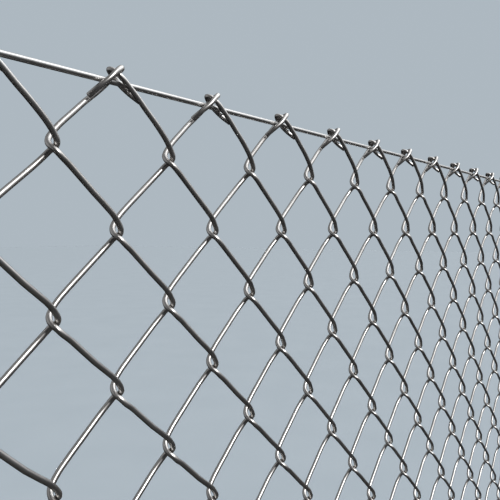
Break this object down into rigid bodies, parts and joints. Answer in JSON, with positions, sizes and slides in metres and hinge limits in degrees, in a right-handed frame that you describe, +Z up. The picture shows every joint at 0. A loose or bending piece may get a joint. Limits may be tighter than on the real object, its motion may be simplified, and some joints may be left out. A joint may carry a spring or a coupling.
{
  "type": "chain-link fence bay",
  "caption": "Bay of woven chain-link fence: diamond wire mesh hung on straight line wires between two flanged steel end posts.",
  "frame": {"origin": "middle of the underside of the left post's base plate, on the post's axis", "axes": "+X along the fence from the left post to the right post, +Y from the front of the mesh to its back, +Z up"},
  "size_m": [3.1284, 0.16, 1.9175],
  "materials": {
    "mesh_wire": "bright zinc-coated wire, lightly scuffed",
    "line_wire": "drawn zinc-coated wire",
    "galvanised_steel": "dull hot-dip galvanised steel",
    "fittings": "zinc-plated steel",
    "caps": "cast aluminium, matt"
  },
  "bodies": {
    "root": {"mesh_section_1": "mesh_wire", "mesh_section_2": "mesh_wire", "mesh_section_3": "mesh_wire", "mesh_section_4": "mesh_wire", "mesh_section_5": "mesh_wire", "mesh_section_6": "mesh_wire", "top_line_wire": "line_wire", "middle_line_wire": "line_wire", "bottom_line_wire": "line_wire", "middle_wire_ties": "line_wire", "left_post": "galvanised_steel", "left_base_plate": "galvanised_steel", "left_post_weld": "galvanised_steel", "left_stretcher_bar": "fittings", "left_tension_bands": "fittings", "left_band_bolts": "fittings", "left_band_nuts": "fittings", "left_eye_bolts": "fittings", "left_eye_bolt_nuts": "fittings", "left_post_cap": "caps", "right_post": "galvanised_steel", "right_base_plate": "galvanised_steel", "right_post_weld": "galvanised_steel", "right_stretcher_bar": "fittings", "right_tension_bands": "fittings", "right_band_bolts": "fittings", "right_band_nuts": "fittings", "right_eye_bolts": "fittings", "right_eye_bolt_nuts": "fittings", "right_post_cap": "caps"}
  },
  "joints": []
}
